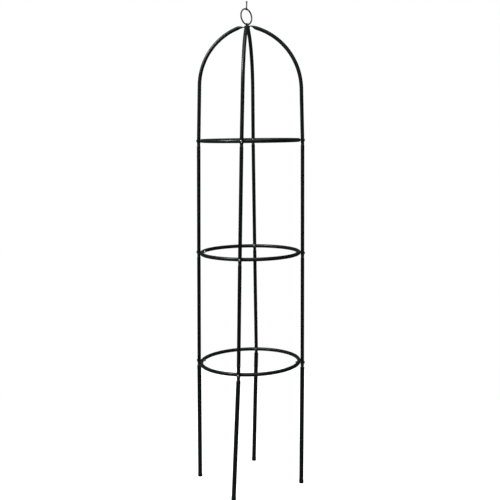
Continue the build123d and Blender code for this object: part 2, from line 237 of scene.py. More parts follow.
def make(name, shells, nodes, body, material, angle=38.0):
    mesh = bpy.data.meshes.new(name)
    verts = np.vstack(shells.v) * MM
    mesh.from_pydata(verts.tolist(), [], shells.f)
    bm = bmesh.new()
    bm.from_mesh(mesh)
    bmesh.ops.remove_doubles(bm, verts=bm.verts, dist=1e-7)
    bmesh.ops.recalc_face_normals(bm, faces=bm.faces)
    bm.to_mesh(mesh)
    bm.free()
    wear_and_shade = np.concatenate(shells.w)
    if len(mesh.vertices) == len(wear_and_shade):
        attribute = mesh.attributes.new("wear_and_shade", "FLOAT", "POINT")
        attribute.data.foreach_set("value", wear_and_shade.astype(np.float32))
    obj = bpy.data.objects.new(name, mesh)
    bpy.context.scene.collection.objects.link(obj)
    return finish_piece(obj, nodes, body, material, angle)


def finish_piece(obj, nodes, body, material, angle=38.0):
    mesh = obj.data
    if "wear_and_shade" not in mesh.attributes:
        mesh.attributes.new("wear_and_shade", "FLOAT", "POINT")
    mesh.polygons.foreach_set("use_smooth", [True] * len(mesh.polygons))
    mesh.set_sharp_from_angle(angle=math.radians(angle))
    mesh.materials.clear()
    mesh.materials.append(material)
    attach(obj, body)
    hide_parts(*nodes)
    return obj


def raw(name, shells):
    """A working object for booleans."""
    mesh = bpy.data.meshes.new(name)
    mesh.from_pydata((np.vstack(shells.v) * MM).tolist(), [], shells.f)
    bm = bmesh.new()
    bm.from_mesh(mesh)
    bmesh.ops.recalc_face_normals(bm, faces=bm.faces)
    bm.to_mesh(mesh)
    bm.free()
    obj = bpy.data.objects.new(name, mesh)
    bpy.context.scene.collection.objects.link(obj)
    return obj


def bake_modifiers(obj):
    dg = bpy.context.evaluated_depsgraph_get()
    dg.update()
    mesh = bpy.data.meshes.new_from_object(obj.evaluated_get(dg))
    old = obj.data
    obj.modifiers.clear()
    obj.data = mesh
    bpy.data.meshes.remove(old)


def combine(obj, tool, how):
    m = obj.modifiers.new(how, "BOOLEAN")
    m.operation, m.solver, m.object = how, "EXACT", tool
    bake_modifiers(obj)
    mesh = tool.data
    bpy.data.objects.remove(tool)
    bpy.data.meshes.remove(mesh)


def forge(obj, voxel, rounds):
    """Melts the joined shells into one skin with soft inside corners."""
    m = obj.modifiers.new("skin", "REMESH")
    m.mode, m.voxel_size, m.adaptivity = "VOXEL", voxel * MM, 0.0
    m = obj.modifiers.new("soft", "SMOOTH")
    m.factor, m.iterations = 0.5, rounds
    bake_modifiers(obj)


# ---------------------------------------------------------------------------
# Materials
# ---------------------------------------------------------------------------


class Nodes:
    def __init__(self, name):
        self.mat = bpy.data.materials.new(name)
        self.mat.use_nodes = True
        self.t = self.mat.node_tree
        self.t.nodes.clear()
        self.out = self.t.nodes.new("ShaderNodeOutputMaterial")
        self.bsdf = self.t.nodes.new("ShaderNodeBsdfPrincipled")
        self.t.links.new(self.bsdf.outputs[0], self.out.inputs[0])
        self.coord = self.t.nodes.new("ShaderNodeTexCoord").outputs["Object"]

    def link(self, a, b):
        self.t.links.new(a, b)

    def noise(self, scale, detail=3.0, rough=0.5, distortion=0.0, stretch=None):
        n = self.t.nodes.new("ShaderNodeTexNoise")
        n.inputs["Scale"].default_value = scale
        n.inputs["Detail"].default_value = detail
        n.inputs["Roughness"].default_value = rough
        n.inputs["Distortion"].default_value = distortion
        src = self.coord
        if stretch:
            m = self.t.nodes.new("ShaderNodeMapping")
            m.inputs["Scale"].default_value = stretch
            self.link(src, m.inputs["Vector"])
            src = m.outputs[0]
        self.link(src, n.inputs["Vector"])
        return n.outputs["Fac"]

    def voronoi(self, scale, feature="F1"):
        n = self.t.nodes.new("ShaderNodeTexVoronoi")
        n.feature = feature
        n.inputs["Scale"].default_value = scale
        self.link(self.coord, n.inputs["Vector"])
        return n.outputs["Distance"]

    def ramp(self, src, lo, hi, to_lo=0.0, to_hi=1.0):
        n = self.t.nodes.new("ShaderNodeMapRange")
        n.interpolation_type = "SMOOTHSTEP"
        n.inputs["From Min"].default_value = lo
        n.inputs["From Max"].default_value = hi
        n.inputs["To Min"].default_value = to_lo
        n.inputs["To Max"].default_value = to_hi
        self.link(src, n.inputs["Value"])
        return n.outputs["Result"]

    def math(self, op, a, b):
        n = self.t.nodes.new("ShaderNodeMath")
        n.operation = op
        for i, x in enumerate((a, b)):
            if isinstance(x, (int, float)):
                n.inputs[i].default_value = x
            else:
                self.link(x, n.inputs[i])
        return n.outputs[0]

    def mix(self, fac, a, b):
        n = self.t.nodes.new("ShaderNodeMix")
        n.data_type = "RGBA"
        self.link(fac, n.inputs["Factor"])
        for sock, x in ((n.inputs[6], a), (n.inputs[7], b)):
            if isinstance(x, tuple):
                sock.default_value = (*x, 1.0)
            else:
                self.link(x, sock)
        return n.outputs[2]

    def wear_and_shade(self):
        n = self.t.nodes.new("ShaderNodeAttribute")
        n.attribute_name = "wear_and_shade"
        return n.outputs["Fac"]

    def up(self):
        g = self.t.nodes.new("ShaderNodeNewGeometry")
        s_ = self.t.nodes.new("ShaderNodeSeparateXYZ")
        self.link(g.outputs["Normal"], s_.inputs[0])
        return s_.outputs["Z"]

    def bump(self, height, distance, strength, after=None):
        n = self.t.nodes.new("ShaderNodeBump")
        n.inputs["Distance"].default_value = distance
        n.inputs["Strength"].default_value = strength
        self.link(height, n.inputs["Height"])
        if after is not None:
            self.link(after, n.inputs["Normal"])
        return n.outputs[0]

    def set(self, **values):
        for k, v in values.items():
            self.bsdf.inputs[k.replace("_", " ")].default_value = v


def coating(name, dark, light, rough_lo, rough_hi, peel=1.0, dust=0.16):
    """Powder-coated steel: orange peel, cloudy gloss, dust on top, chips along worn edges."""
    n = Nodes(name)
    cloud = n.noise(38.0, 4.0, 0.55)
    fine = n.noise(420.0, 3.0, 0.6)
    color = n.mix(n.ramp(cloud, 0.32, 0.68), dark, light)
    # dust settles on what faces up, in patches
    settled = n.math("MULTIPLY", n.ramp(n.up(), 0.35, 1.0), n.ramp(n.noise(95.0, 5.0, 0.65), 0.42, 0.72))
    settled = n.math("MULTIPLY", settled, dust)
    color = n.mix(settled, color, (0.085, 0.088, 0.08))
    # chips and scuffs where the wear map says
    chips = n.math("MULTIPLY", n.wear_and_shade(), n.ramp(n.noise(900.0, 4.0, 0.7), 0.46, 0.60))
    scuffs = n.math("MULTIPLY", n.wear_and_shade(), n.ramp(n.noise(260.0, 6.0, 0.75, 0.6), 0.35, 0.75))
    color = n.mix(n.math("MULTIPLY", scuffs, 0.55), color, (0.040, 0.043, 0.042))
    color = n.mix(n.math("MULTIPLY", chips, 0.85), color, (0.20, 0.20, 0.195))
    # long faint rub marks
    rub = n.ramp(n.noise(55.0, 8.0, 0.8, 1.4, (6.0, 6.0, 0.7)), 0.60, 0.72)
    color = n.mix(n.math("MULTIPLY", rub, 0.18), color, (0.05, 0.054, 0.053))
    n.link(color, n.bsdf.inputs["Base Color"])
    rough = n.ramp(cloud, 0.25, 0.75, rough_lo, rough_hi)
    rough = n.math("ADD", rough, n.math("MULTIPLY", n.math("SUBTRACT", fine, 0.5), 0.10))
    rough = n.math("ADD", rough, n.math("MULTIPLY", settled, 1.1))
    rough = n.math("ADD", rough, n.math("MULTIPLY", scuffs, 0.20))
    rough = n.math("ADD", rough, n.math("MULTIPLY", rub, 0.07))
    n.link(rough, n.bsdf.inputs["Roughness"])
    n.link(n.math("MULTIPLY", chips, 0.8), n.bsdf.inputs["Metallic"])
    b = n.bump(n.noise(720.0, 2.0, 0.45), 0.00005 * peel, 0.35)
    b = n.bump(n.noise(2600.0, 2.0, 0.5), 0.000012 * peel, 0.4, b)
    b = n.bump(n.math("SUBTRACT", 1.0, chips), 0.00007, 0.8, b)
    n.link(b, n.bsdf.inputs["Normal"])
    n.set(IOR=1.47)
    n.bsdf.inputs["Specular IOR Level"].default_value = 0.42
    n.bsdf.inputs["Specular Tint"].default_value = (0.86, 1.0, 0.97, 1.0)
    return n.mat


def zinc(name, dark, light):
    """Zinc-plated steel: spangled tone, fine turning marks, dull spots, painted shade in sockets and bores."""
    n = Nodes(name)
    spangle = n.voronoi(780.0)
    cloud = n.noise(300.0, 5.0, 0.6)
    color = n.mix(n.ramp(cloud, 0.30, 0.70), dark, light)
    color = n.mix(n.ramp(spangle, 0.15, 0.75, 0.0, 0.22), color, (0.50, 0.49, 0.45))
    dull = n.math("MULTIPLY", n.ramp(n.noise(620.0, 6.0, 0.7, 0.4), 0.55, 0.70), 0.6)
    color = n.mix(dull, color, (0.12, 0.118, 0.11))
    # painted shade: the zinc goes near black where the per-vertex map is high, down the hex sockets and in the bores;
    # it is also darker on the thread tails and at the head's lower rim
    color = n.mix(n.math("MULTIPLY", n.wear_and_shade(), 0.75), color, (0.045, 0.045, 0.042))
    n.link(color, n.bsdf.inputs["Base Color"])
    rough = n.math("ADD", n.ramp(cloud, 0.2, 0.8, 0.28, 0.46), n.math("MULTIPLY", dull, 0.25))
    n.link(rough, n.bsdf.inputs["Roughness"])
    b = n.bump(n.noise(1900.0, 4.0, 0.6), 0.00003, 0.5)
    b = n.bump(spangle, 0.00002, 0.35, b)
    n.link(b, n.bsdf.inputs["Normal"])
    n.set(Metallic=1.0)
    return n.mat


def plastic(name):
    """Moulded cap: fine spark-eroded grain, scuffed and a little earthy near the ground."""
    n = Nodes(name)
    grain = n.noise(2200.0, 3.0, 0.6)
    cloud = n.noise(120.0, 4.0, 0.6)
    color = n.mix(n.ramp(cloud, 0.3, 0.7), (0.0045, 0.0048, 0.0048), (0.0080, 0.0084, 0.0082))
    s_ = n.t.nodes.new("ShaderNodeSeparateXYZ")
    n.link(n.coord, s_.inputs[0])
    low = n.ramp(s_.outputs["Z"], 0.0, 0.006, 1.0, 0.0)
    soil = n.math("MULTIPLY", low, n.ramp(n.noise(500.0, 6.0, 0.7), 0.45, 0.65))
    color = n.mix(n.math("MULTIPLY", soil, 0.5), color, (0.055, 0.047, 0.038))
    scuff = n.math("MULTIPLY", n.wear_and_shade(), n.ramp(n.noise(700.0, 5.0, 0.7, 0.5), 0.45, 0.62))
    color = n.mix(n.math("MULTIPLY", scuff, 0.6), color, (0.05, 0.052, 0.052))
    n.link(color, n.bsdf.inputs["Base Color"])
    rough = n.ramp(cloud, 0.2, 0.8, 0.52, 0.68)
    rough = n.math("ADD", rough, n.math("MULTIPLY", soil, 0.2))
    n.link(rough, n.bsdf.inputs["Roughness"])
    b = n.bump(grain, 0.00005, 0.6)
    b = n.bump(cloud, 0.0001, 0.3, b)
    n.link(b, n.bsdf.inputs["Normal"])
    n.set(IOR=1.46)
    n.bsdf.inputs["Specular IOR Level"].default_value = 0.4
    return n.mat


MAT_LEG = coating("leg_powder_coat", (0.0030, 0.0044, 0.0042), (0.0050, 0.0074, 0.0070), 0.30, 0.38)
MAT_HOOP = coating("hoop_powder_coat", (0.0030, 0.0043, 0.0041), (0.0052, 0.0074, 0.0070), 0.31, 0.40)
MAT_WIRE = coating("wire_coat", (0.050, 0.053, 0.052), (0.095, 0.099, 0.097), 0.34, 0.50, 0.6, 0.10)
MAT_ZINC = zinc("zinc_plate", (0.26, 0.265, 0.27), (0.40, 0.405, 0.40))
MAT_CAP = plastic("cap_plastic_moulded")

FRAME_BODY, RING_BODY, LINK_BODY = "obelisk_frame", "hanging_ring", "hanger_link"
rng = np.random.default_rng(7)


def scuff_near_screws(points, ks):
    """Wear where a joint screw's head has turned on the coat."""
    w = np.zeros(len(points))
    for k, s in ks:
        rel = points - joint[k, s]
        out = rel @ screw_dir[k, s]
        off = np.linalg.norm(rel - out[:, None] * screw_dir[k, s], axis=1)
        ring = np.exp(-(((off - head_d / 2 - 0.3) / 0.8) ** 2)) * (out > 1.0)
        w = np.maximum(w, 0.50 * ring)
    return w


# ---------------------------------------------------------------------------
# Leg tubes: hollow, with a rolled-in rim at the mouth and a swaged neck
# ---------------------------------------------------------------------------
SEG = 48


def leg_tube(k, s, name):
    d_here, d_above = axis_dir[k, s], axis_dir[k - 1, s]
    top = kink[k - 1, s]
    dia = foot_d if k == 3 else leg_d
    low = joint[k, s] - d_here * mouth if k < 3 else foot_pt[s] + d_here * cap_floor
    length = float(np.linalg.norm(top - low))
    end = length + spigot_up + mouth + neck / 2
    ro, ri = dia / 2, dia / 2 - wall
    rn, rni = spigot_d / 2, spigot_d / 2 - wall
    blend = 3.0

    def at(x):
        """Point and direction of the axis at a distance from the low end."""
        if x <= length - blend:
            return low + d_here * x, d_here
        if x >= length + blend:
            return top + d_above * (x - length), d_above
        q = (x - (length - blend)) / (2 * blend)
        a, b, c = top - d_here * blend, top, top + d_above * blend
        return (1 - q) ** 2 * a + 2 * q * (1 - q) * b + q * q * c, unit((1 - q) * (b - a) + q * (c - b))

    sh0, sh1 = length - neck / 2 - shoulder, length - neck / 2
    outer = [(0.0, ro - 0.32), (0.05, ro - 0.16), (0.16, ro - 0.05), (0.32, ro)]
    # close stations at the rim and round the screw, where the coat is worn
    outer += [(x, ro) for x in (0.8, 1.5, 2.5)]
    if k < 3:
        outer += [(x, ro) for x in np.arange(3.6, 17.0, 0.6)]
    step = 22.0
    x = step
    while x < sh0 - 8:
        outer.append((x, ro))
        x += step
    # the swage: a rounded lip, a cone with soft ends, then the neck
    for q in np.linspace(0, 1, 15):
        xx = sh0 - 1.0 + q * (shoulder + 1.6)
        outer.append((xx, ro - (ro - rn) * float(smooth(q))))
    for xx in np.linspace(sh1 + 1.4, length + blend + 1, 7):
        outer.append((xx, rn - 0.02 * math.sin((xx - sh1) * 1.1)))
    for xx in np.linspace(length + blend + 3, end - 0.4, 6):
        outer.append((xx, rn))
    outer += [(end - 0.12, rn - 0.06), (end, rn - 0.22)]
    inner = [(end, rni + 0.1), (end - 0.3, rni)]
    for xx in np.linspace(end - 6, length + blend, 4):
        inner.append((xx, rni))
    for q in np.linspace(1, 0, 8):
        inner.append((sh0 - 0.4 + q * (shoulder + 0.8), ri - (ri - rni) * float(smooth(q))))
    inner += [(sh0 - 12, ri), (length * 0.66, ri), (length * 0.33, ri), (12.0, ri), (0.25, ri), (0.0, ri + 0.14)]
    rows, wear_and_shade = [], []
    side0 = basis(d_here)[1]
    th = np.arange(SEG) * 2 * math.pi / SEG
    for i, (xx, r) in enumerate(outer + inner):
        p, d = at(xx)
        a = unit(side0 - d * (side0 @ d))
        b = np.cross(d, a)
        rows.append(p + r * (np.cos(th)[:, None] * a + np.sin(th)[:, None] * b))
        e = 0.0
        if i < len(outer):
            e = max(0.85 * math.exp(-((xx / 0.7) ** 2)), 0.45 * math.exp(-(((xx - sh1 - 1.0) / 1.6) ** 2)))
        wear_and_shade.append(np.full(SEG, e))
    rows, wear_and_shade = np.array(rows), np.array(wear_and_shade)
    ks = [(k, s)] if k < 3 else []
    flat = rows.reshape(-1, 3)
    wear_and_shade = np.maximum(wear_and_shade.reshape(-1), scuff_near_screws(flat, ks)).reshape(wear_and_shade.shape)
    sh = Shells()
    sh.grid(rows, closed=True, wear_and_shade=wear_and_shade)
    node = f"{name}_{s}"
    return make("coated_" + node, sh, [node], FRAME_BODY, MAT_LEG)


for k, name in ((1, "upper_tube"), (2, "middle_tube"), (3, "foot_tube")):
    for s in SIDES:
        leg_tube(k, s, name)


# ---------------------------------------------------------------------------
# Top bows: bent tube, its end squashed flat and rounded off
# ---------------------------------------------------------------------------


def outline(count, half_w, half_h, corner):
    """Points round a rounded bar, evenly spaced, starting at +x on the centre line."""
    c = min(corner, half_h)
    fx, fy = half_w - c, half_h - c
    pieces = []
    total = 4 * (fx + fy) + 2 * math.pi * c
    for i in range(count):
        t = total * i / count
        x = y = 0.0
        seg = [fy, math.pi * c / 2, 2 * fx, math.pi * c / 2, 2 * fy, math.pi * c / 2, 2 * fx, math.pi * c / 2, fy]
        for n, ln in enumerate(seg):
            if t <= ln or n == len(seg) - 1:
                break
            t -= ln
        q = t / c if c else 0
        if n == 0:
            x, y = half_w, t
        elif n == 1:
            x, y = fx + c * math.cos(q), fy + c * math.sin(q)
        elif n == 2:
            x, y = fx - t, half_h
        elif n == 3:
            x, y = -fx - c * math.sin(q), fy + c * math.cos(q)
        elif n == 4:
            x, y = -half_w, fy - t
        elif n == 5:
            x, y = -fx - c * math.cos(q), -fy - c * math.sin(q)
        elif n == 6:
            x, y = -fx + t, -half_h
        elif n == 7:
            x, y = fx + c * math.sin(q), -fy - c * math.cos(q)
        else:
            x, y = half_w, -fy + t
        pieces.append((x, y))
    return np.array(pieces)


def bow_piece(s):
    g = bow[s]
    o, u, up = g["o"], g["u"], g["up"]
    seg = 64
    layer = tab_order.index(s)
    layer_y = (stack_z + tab_t * (layer + 0.5) - o[2]) / math.cos(g["side_lean"])
    stations = []      # (point, direction, squash 0..1, half width of the flat end, squareness)
    sx, sy = g["bend"]
    d0 = u * math.sin(g["lean"]) + up * math.cos(g["lean"])
    start = o - d0 * mouth
    ln = np.linalg.norm(o + u * sx + up * sy - start)
    xs = [0.0, 0.05, 0.16, 0.32, 0.8, 1.5, 2.5] + list(np.arange(3.6, 17.0, 0.6)) + list(np.linspace(22, ln - 2, 12))
    rim = {0.0: 0.32, 0.05: 0.16, 0.16: 0.05}
    for x in xs:
        stations.append((start + d0 * x, d0, 0.0, 0, 0, leg_d / 2 - rim.get(x, 0.0)))
    # arc
    nrm = u * math.cos(g["lean"]) - up * math.sin(g["lean"])
    centre = o + u * sx + up * sy + nrm * g["radius"]
    n_arc = 84
    for i in range(n_arc + 1):
        q = g["turn"] * i / n_arc
        p = centre - nrm * g["radius"] * math.cos(q) + d0 * g["radius"] * math.sin(q)
        d = d0 * math.cos(q) + nrm * math.sin(q)
        stations.append((p, unit(d), 0.0, 0, 0, leg_d / 2))
    # squash: from the end of the bend to the flat
    ex, ey = g["end"]
    tx = g["span"] - tab_start_r
    p0, p1 = vec(ex, ey), vec(tx, layer_y)
    t0 = vec(math.cos(g["slope"]), math.sin(g["slope"])) * (tx - ex)
    t1 = vec(1, 0) * (tx - ex)
    for i in range(1, 31):
        q = i / 30
        h = (2 * q**3 - 3 * q**2 + 1) * p0 + (q**3 - 2 * q**2 + q) * t0 + (-2 * q**3 + 3 * q**2) * p1 + (q**3 - q**2) * t1
        dh = (6 * q**2 - 6 * q) * p0 + (3 * q**2 - 4 * q + 1) * t0 + (-6 * q**2 + 6 * q) * p1 + (3 * q**2 - 2 * q) * t1
        dh = unit(dh)
        w = min(1.0, q ** 1.15 * (0.80 + 0.20 * q * q))
        stations.append((o + u * h[0] + up * h[1], u * dh[0] + up * dh[1], w, tab_w / 2, 0.0, leg_d / 2))
    # flat end, rounded off past the screw
    for x in (-11.0, -8.0, -5.0, -2.0):
        stations.append((o + u * (g["span"] + x) + up * layer_y, u, 1.0, tab_w / 2, 0.0, leg_d / 2))
    for q in np.linspace(0, 86.5, 18):
        x = tab_w / 2 * math.sin(math.radians(q))
        hw = tab_w / 2 * math.cos(math.radians(q))
        stations.append((o + u * (g["span"] + x) + up * layer_y, u, 1.0, hw, min(1.0, q / 20), leg_d / 2))
    th = np.arange(seg) * 2 * math.pi / seg
    circle = np.stack([np.cos(th), np.sin(th)], 1)
    rows, wear_and_shade = [], []
    for i, (p, d, w, hw, sq, r) in enumerate(stations):
        # the flat end lies level, so the squash takes the sideways lean out
        level = np.cross(u, Z) * w + np.cross(u, up) * (1 - w)
        side = unit(level - d * (level @ d))
        up_dir = np.cross(side, d)
        pts = circle * r
        if w > 0:
            flat = outline(seg, hw, tab_t / 2 - 0.01, tab_t / 2 - 0.02 - 0.58 * sq)
            pts = (1 - w) * pts + w * flat
            # the walls pinch in a little beside the fold while they collapse
            pinch = 0.5 * math.sin(math.pi * w) ** 2
            mid = np.exp(-((pts[:, 0] / 3.2) ** 2)) * np.sign(pts[:, 1])
            pts = pts - np.stack([np.zeros(seg), mid * pinch], 1)
        rows.append(p + pts[:, :1] * side + pts[:, 1:] * up_dir)
        e = 0.85 * math.exp(-((np.linalg.norm(p - start) / 0.7) ** 2))
        if w > 0.85:
            edge = np.clip((np.abs(pts[:, 0]) - hw + 0.9) / 0.9, 0, 1)
            wear_and_shade.append(np.maximum(e, 0.8 * edge))
        else:
            wear_and_shade.append(np.full(seg, e))
    # inside of the mouth, so that the tube reads as hollow
    inner_d = 26.0
    inner = []
    for x, r in ((inner_d, 0.2), (inner_d, leg_d / 2 - wall), (12.0, leg_d / 2 - wall), (0.25, leg_d / 2 - wall), (0.0, leg_d / 2 - wall + 0.14)):
        side = np.cross(u, up)
        up_dir = np.cross(side, d0)
        inner.append(start + d0 * x + r * (circle[:, :1] * side + circle[:, 1:] * up_dir))
    rows = np.array(inner + rows)
    wear_and_shade = np.array([np.zeros(seg)] * len(inner) + wear_and_shade)
    flat = rows.reshape(-1, 3)
    wear_and_shade = np.maximum(wear_and_shade.reshape(-1), scuff_near_screws(flat, [(0, s)])).reshape(wear_and_shade.shape)
    sh = Shells()
    sh.grid(rows, wear_and_shade=wear_and_shade)
    node = f"top_bow_{s}"
    return make("coated_" + node, sh, [node], FRAME_BODY, MAT_LEG)


for s in SIDES:
    bow_piece(s)

# ---------------------------------------------------------------------------
# Hoops: round tube bent to a circle, closed with a dressed weld
# ---------------------------------------------------------------------------
for k, name in enumerate(("top_ring", "middle_ring", "bottom_ring")):
    o, px, py, pn = planes[k]
    seg, count = 40, 420
    fine = math.radians(2.6)
    base = math.radians(weld_azimuth - rise_azimuth)
    # denser stations across the weld
    turns = np.concatenate([np.linspace(-fine, fine, 40, endpoint=False), np.linspace(fine, 2 * math.pi - fine, count, endpoint=False)])
    th = np.arange(seg) * 2 * math.pi / seg
    rows, wear_and_shade = [], []
    for t in turns:
        a = base + t
        out = px * math.cos(a) + py * math.sin(a)
        off = ((t + math.pi) % (2 * math.pi) - math.pi) * hoop_r[k]   # mm from the weld
        bead = math.exp(-((off / 1.7) ** 4)) if abs(off) < 6 else 0.0
        ripple = 0.5 + 0.5 * np.sin(th * 13 + 1.4 * off)
        r = hoop_d / 2 + bead * (0.16 + 0.16 * ripple + 0.05 * np.sin(3 * th + k))
        # undercut beside the bead
        r = r - 0.07 * math.exp(-(((abs(off) - 2.6) / 0.6) ** 2)) if abs(off) < 8 else r
        r = np.broadcast_to(r, (seg,))
        rows.append(o + out * hoop_r[k] + r[:, None] * (np.cos(th)[:, None] * out + np.sin(th)[:, None] * pn))
        wear_and_shade.append(np.full(seg, 0.25 * bead))
    rows, wear_and_shade = np.array(rows), np.array(wear_and_shade)
    # rub marks either side of each leg
    flat = rows.reshape(-1, 3)
    w = wear_and_shade.reshape(-1).copy()
    for s in SIDES:
        rel = flat - joint[k, s]
        out = rel @ screw_dir[k, s]
        along = np.linalg.norm(np.cross(rel, pn) - np.outer(np.cross(rel, pn) @ screw_dir[k, s], screw_dir[k, s]), axis=1)
        off = np.linalg.norm(rel - out[:, None] * screw_dir[k, s], axis=1)
        w = np.maximum(w, 0.4 * np.exp(-(((off - 5.2) / 1.4) ** 2)) * (out < -3))
    sh = Shells()
    sh.grid(rows, closed=True, wear_and_shade=w.reshape(wear_and_shade.shape))
    make("coated_" + name, sh, [name], FRAME_BODY, MAT_HOOP)

# ---------------------------------------------------------------------------
# Joint screws and nuts
# ---------------------------------------------------------------------------


def thread(major, depth, pitch, phase=0.0):
    """Radius over angle and height of a V thread with flat crests and roots."""
    def at(h):
        def r(th):
            f = np.abs(2 * np.mod(h / pitch - th / (2 * math.pi) + phase, 1.0) - 1)
            return major - depth * np.clip((f - 0.14) / 0.68, 0, 1)
        return r
    return at


def limited(fn, limit):
    return lambda th: np.minimum(fn(th), limit)


nut_face = leg_offset + hoop_d / 2 + nut_gap
screws, nuts = Shells(), Shells()
for k in range(3):
    for s in SIDES:
        o, d = joint[k, s], screw_dir[k, s]
        seg = 36
        roll = float(rng.uniform(0, math.pi / 3))
        tip = -(nut_face + nut_h + screw_tail)
        seat = leg_d / 2 + head_gap
        M = screw_d / 2 - 0.02
        th_at = thread(M, 0.40, 0.7, float(rng.uniform(0, 1)))
        prof, wear_and_shade = [], []
        for h in np.arange(tip, -nut_face + 0.9, 0.1):
            lim = M - 0.5 + max(0.0, (h - tip)) * 0.9
            prof.append((h, limited(th_at(h), lim)))
            wear_and_shade.append(0.5)
        prof += [(-nut_face + 1.2, M), (0.0, M), (seat, M)]
        wear_and_shade += [0, 0, 0]
        prof += [(seat, head_d / 2 - 0.35), (seat + 0.08, head_d / 2 - 0.14), (seat + 0.24, head_d / 2 - 0.02), (seat + 0.42, head_d / 2)]
        wear_and_shade += [0.4, 0.2, 0, 0]
        crown = lambda r: seat + 0.42 + (head_h - 0.42) * math.sqrt(max(0.0, 1 - (r / (head_d / 2)) ** 2.15))
        for r in (3.93, 3.8, 3.6, 3.3, 2.95, 2.55, 2.15, 1.85, 1.66):
            prof.append((crown(r), r))
            wear_and_shade.append(0)
        lip = crown(1.66)
        hx = hexagon(socket_af, 0.03)
        # the per-vertex values rise down the hex socket, and the zinc material paints shade there
        prof += [(lip - 0.05, 1.56), (lip - 0.18, hx), (lip - 0.30, hx), (lip - 1.30, hx), (lip - 1.42, lambda t_: hx(t_) * 0.82), (lip - 1.75, 0.12)]
        wear_and_shade += [0, 0.3, 0.6, 1, 1, 1]
        rows = lathe_rows(prof, o, d, seg, hint=(0.0, 0.0, 1.0), roll=roll)
        screws.grid(rows, wear_and_shade=np.array(wear_and_shade))
        # nut, chamfered both faces
        seg = 48
        base = o - d * nut_face
        roll = float(rng.uniform(0, math.pi / 3))
        hx = hexagon(nut_af, 0.05)
        prof, wear_and_shade = [], []
        zs = [0.0, 0.05, 0.12, 0.2, 0.3, 0.42, nut_h - 0.42, nut_h - 0.3, nut_h - 0.2, nut_h - 0.12, nut_h - 0.05, nut_h]
        for h in zs:
            lim = nut_af / 2 * 0.955 + min(h, nut_h - h) * 1.73
            prof.append((h, limited(hx, lim)))
            wear_and_shade.append(0.15 if h < 0.3 else 0.0)
        bore = screw_d / 2 + 0.02
        # high per-vertex values inside the bore: painted shade in the zinc material
        prof += [(nut_h, bore + 0.42), (nut_h - 0.4, bore), (nut_h / 2, bore), (0.4, bore), (0.0, bore + 0.42)]
        wear_and_shade += [0.1, 0.8, 1, 0.8, 0.1]
        rows = lathe_rows(prof, base, -d, seg, hint=(0.0, 0.0, 1.0), roll=roll)
        nuts.grid(rows, closed=True, wear_and_shade=np.array(wear_and_shade))
make("joint_screws_zinc", screws, ["joint_screws"], FRAME_BODY, MAT_ZINC, 32)
make("joint_nuts_zinc", nuts, ["joint_nuts"], FRAME_BODY, MAT_ZINC, 28)

# ---------------------------------------------------------------------------
# Apex: forged eye screw, washer and nut
# ---------------------------------------------------------------------------
hub = vec(hub_x, hub_y, 0)
body = Shells()
body.grid(lathe_rows([
    (stack_top + 0.02, collar_d / 2 - 0.25), (stack_top + 0.2, collar_d / 2), (stack_top + collar_t - 0.35, collar_d / 2),
    (stack_top + collar_t, collar_d / 2 - 0.45), (stack_top + collar_t + 0.02, 5.0), (stack_top + collar_t + 0.6, 4.3),
    (eye_z - 0.6, 3.9)], hub, Z, 64))
eye_obj = raw("eye_body", body)
barrel = Shells()
half = eye_t / 2
prof = [(-half, 3.95)] + [(x * half, eye_hole_r + eye_wall - 0.55 * abs(x) ** 3.2) for x in np.linspace(-0.98, 0.98, 21)] + [(half, 3.95)]
barrel.grid(lathe_rows(prof, ring_foot, ring_axis, 64, hint=(0, 0, 1)))
combine(eye_obj, raw("eye_barrel", barrel), "UNION")
hole = Shells()
prof = [(x, eye_hole_r + 0.03 + 0.45 * max(0.0, (abs(x) - 1.0) / 1.8) ** 2.2 * min(1.0, max(0.0, (3.6 - abs(x)) / 0.5)))
        for x in np.linspace(-6.4, 6.4, 65)]
hole.grid(lathe_rows(prof, ring_foot + Z * 0.0, ring_axis, 64, hint=(0, 0, 1)))
combine(eye_obj, raw("eye_hole", hole), "DIFFERENCE")
forge(eye_obj, 0.16, 5)
shank = Shells()
M = eye_screw_d / 2 - 0.02
th_at = thread(M, 0.58, 1.0, 0.3)
prof = [(h, limited(th_at(h), M - 0.75 + (h - screw_low) * 0.95)) for h in np.arange(screw_low, stack_z - 0.6, 0.12)]
wear_and_shade = [0.5] * len(prof)
prof += [(stack_z, M), (stack_top + 0.5, M)]
wear_and_shade += [0, 0]
shank.grid(lathe_rows(prof, hub, Z, 48), wear_and_shade=np.array(wear_and_shade))
shank_obj = raw("eye_shank", shank)
mesh_a, mesh_b = eye_obj.data, shank_obj.data
bm = bmesh.new()
bm.from_mesh(mesh_a)
bm.from_mesh(mesh_b)
joined = bpy.data.meshes.new("eye_screw_zinc")
bm.to_mesh(joined)
bm.free()
bpy.data.objects.remove(shank_obj)
eye_obj.data = joined
eye_obj.name = "apex_eye_screw_zinc"
finish_piece(eye_obj, ["apex_eye_screw"], FRAME_BODY, MAT_ZINC, 40)

washer = Shells()
wz = stack_z - apex_washer_t
R, r, t = apex_washer_d / 2, 3.2, apex_washer_t
# the bore's high per-vertex values in the last list are painted shade in the zinc material
washer.grid(lathe_rows([
    (wz + 0.0, R - 0.3), (wz + 0.1, R - 0.08), (wz + 0.3, R), (wz + t - 0.12, R), (wz + t, R - 0.12),
    (wz + t, 5.5), (wz + t, r + 0.1), (wz + t - 0.12, r), (wz + 0.3, r), (wz, r + 0.25), (wz, 5.5)], hub, Z, 72), closed=True,
    wear_and_shade=np.array([0.1, 0, 0, 0, 0.1, 0, 0.6, 1, 1, 0.4, 0]))
make("apex_washer_zinc", washer, ["apex_washer"], FRAME_BODY, MAT_ZINC, 34)

